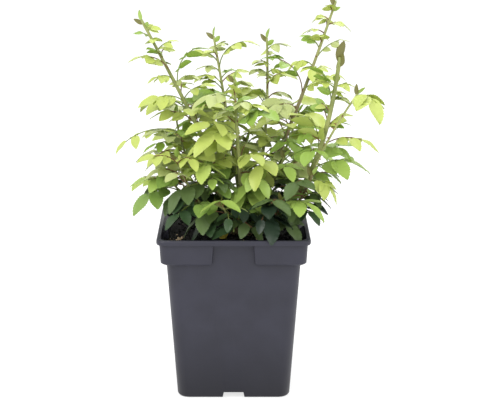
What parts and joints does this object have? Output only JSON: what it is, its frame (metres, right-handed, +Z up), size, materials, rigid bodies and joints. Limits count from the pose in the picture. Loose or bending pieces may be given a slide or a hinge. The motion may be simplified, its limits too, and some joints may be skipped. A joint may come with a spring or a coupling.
{
  "type": "potted bush rose",
  "caption": "Young bush rose in leaf, with upright canes rising from a short bud union, in a square deep nursery pot.",
  "frame": {"origin": "centre of the pot's flat underside", "axes": "+Z up, -Y towards the front seen in the picture, +X to its right"},
  "size_m": [0.3332, 0.2767, 0.5032],
  "materials": {
    "pot_plastic": "satin",
    "potting_soil": "rough",
    "union_bark": "rough",
    "cane_bark": "satin",
    "young_leaf": "satin",
    "mature_leaf": "satin"
  },
  "bodies": {
    "root": {"pot": "pot_plastic", "potting_soil": "potting_soil", "bud_union": "union_bark", "left_bough": "cane_bark", "inner_left_bough": "cane_bark", "front_bough": "cane_bark", "centre_bough": "cane_bark", "tall_right_bough": "cane_bark", "thick_right_bough": "cane_bark", "middle_left_bough": "cane_bark", "middle_front_bough": "cane_bark", "middle_right_bough": "cane_bark", "back_left_bough": "cane_bark", "back_right_bough": "cane_bark", "low_front_left_bough": "cane_bark", "low_left_bough": "cane_bark", "low_front_bough": "cane_bark", "low_front_right_bough": "cane_bark", "low_right_bough": "cane_bark", "low_back_bough": "cane_bark", "left_foliage": "young_leaf", "inner_left_foliage": "young_leaf", "front_foliage": "young_leaf", "centre_foliage": "young_leaf", "tall_right_foliage": "young_leaf", "thick_right_foliage": "young_leaf", "middle_left_foliage": "young_leaf", "middle_front_foliage": "mature_leaf", "middle_right_foliage": "mature_leaf", "back_left_foliage": "young_leaf", "back_right_foliage": "young_leaf", "low_front_left_foliage": "young_leaf", "low_left_foliage": "mature_leaf", "low_front_foliage": "mature_leaf", "low_front_right_foliage": "mature_leaf", "low_right_foliage": "mature_leaf", "low_back_foliage": "mature_leaf", "side_right_foliage": "young_leaf"}
  },
  "joints": []
}
